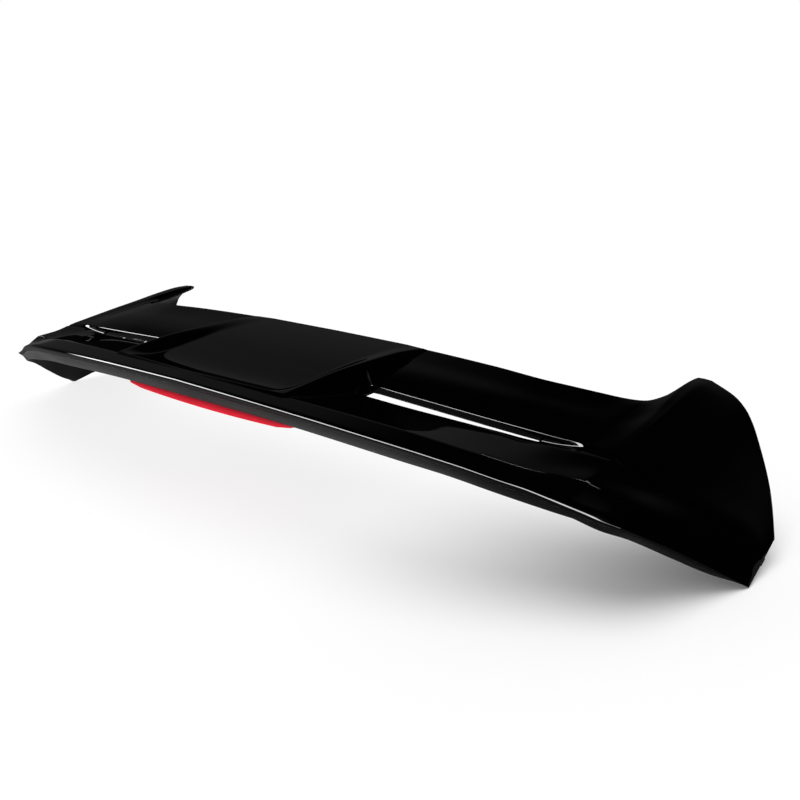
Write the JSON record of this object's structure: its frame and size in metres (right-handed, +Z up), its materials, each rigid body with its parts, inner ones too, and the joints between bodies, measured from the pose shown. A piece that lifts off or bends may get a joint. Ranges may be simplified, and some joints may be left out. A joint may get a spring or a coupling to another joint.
{
  "type": "car rear spoiler",
  "caption": "Slotted rear roof spoiler for a hatchback, in gloss black, with swept end plates and a red high brake lamp.",
  "frame": {"origin": "centre of the four fixing studs, on the lower face of their sealing rings, where the car's panel lies", "axes": "+X to the right end of the spoiler, +Y towards the front of the car, +Z up"},
  "size_m": [1.2, 0.4136, 0.1763],
  "materials": {
    "gloss_black": "painted and clear-coated",
    "satin_black": "moulded, satin",
    "zinc_steel": "zinc plated",
    "foam_rubber": "closed-cell foam",
    "red_lens": "clear red, polished",
    "lamp_black": "moulded, fine grain",
    "bright_reflector": "metallised",
    "board_green": "solder mask",
    "led_resin": "clear resin over phosphor",
    "brass_pins": "tinned brass",
    "clip_natural": "natural nylon"
  },
  "bodies": {
    "root": {"upper_shell": "gloss_black", "lower_shell": "satin_black", "stud_front_left": "zinc_steel", "stud_front_right": "zinc_steel", "stud_rear_left": "zinc_steel", "stud_rear_right": "zinc_steel", "seal_front_left": "foam_rubber", "seal_front_right": "foam_rubber", "seal_rear_left": "foam_rubber", "seal_rear_right": "foam_rubber", "lamp_lens": "red_lens", "lamp_housing": "lamp_black", "lamp_reflector": "bright_reflector", "lamp_board": "board_green", "lamp_leds": "led_resin", "lamp_gasket": "foam_rubber", "lamp_socket": "lamp_black", "lamp_pins": "brass_pins", "lamp_screw_left": "zinc_steel", "lamp_screw_right": "zinc_steel", "tape_front": "foam_rubber", "tape_left": "foam_rubber", "tape_right": "foam_rubber", "clip_left": "clip_natural", "clip_right": "clip_natural"}
  },
  "joints": []
}
